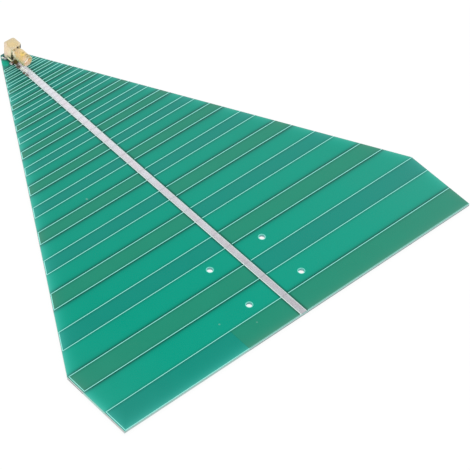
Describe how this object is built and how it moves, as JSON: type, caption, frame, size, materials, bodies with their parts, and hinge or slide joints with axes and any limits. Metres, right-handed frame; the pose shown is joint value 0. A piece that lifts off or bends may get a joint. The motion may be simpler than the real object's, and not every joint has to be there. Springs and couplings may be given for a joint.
{
  "type": "log periodic antenna",
  "caption": "Flat tapering circuit-board antenna with log-periodic strips on both faces along a central feed line, and a right-angle coaxial jack soldered at its narrow tip.",
  "frame": {"origin": "middle of the footprint's bounding box, level with the jack's leg tips, 1.5 mm below the laminate's underside", "axes": "+X across the board, +Y from the wide base edge to the narrow tip with the jack, +Z out of the printed face"},
  "size_m": [0.23, 0.234, 0.0144],
  "materials": {
    "laminate": "green solder mask over glass-fibre laminate",
    "mask_on_copper": "green solder mask over copper foil",
    "tinned_copper": "bright tin and solder",
    "legend_print": "pale printed lines",
    "gold_plate": "gold plating",
    "core_plastic": "waxy white plastic"
  },
  "bodies": {
    "root": {"laminate": "laminate", "top_copper": "mask_on_copper", "bottom_copper": "mask_on_copper", "leg_pad_1": "tinned_copper", "leg_pad_2": "tinned_copper", "leg_pad_3": "tinned_copper", "leg_pad_4": "tinned_copper", "top_feed_tinning": "tinned_copper", "bottom_feed_tinning": "tinned_copper", "top_legend_right": "legend_print", "top_legend_left": "legend_print", "connector_body": "gold_plate", "connector_cap": "gold_plate", "connector_insulator": "core_plastic", "connector_contact": "gold_plate", "connector_tail": "gold_plate", "tail_insulator": "core_plastic", "leg_solder_1": "tinned_copper", "leg_solder_2": "tinned_copper", "leg_solder_3": "tinned_copper", "leg_solder_4": "tinned_copper", "pin_solder": "tinned_copper"}
  },
  "joints": []
}
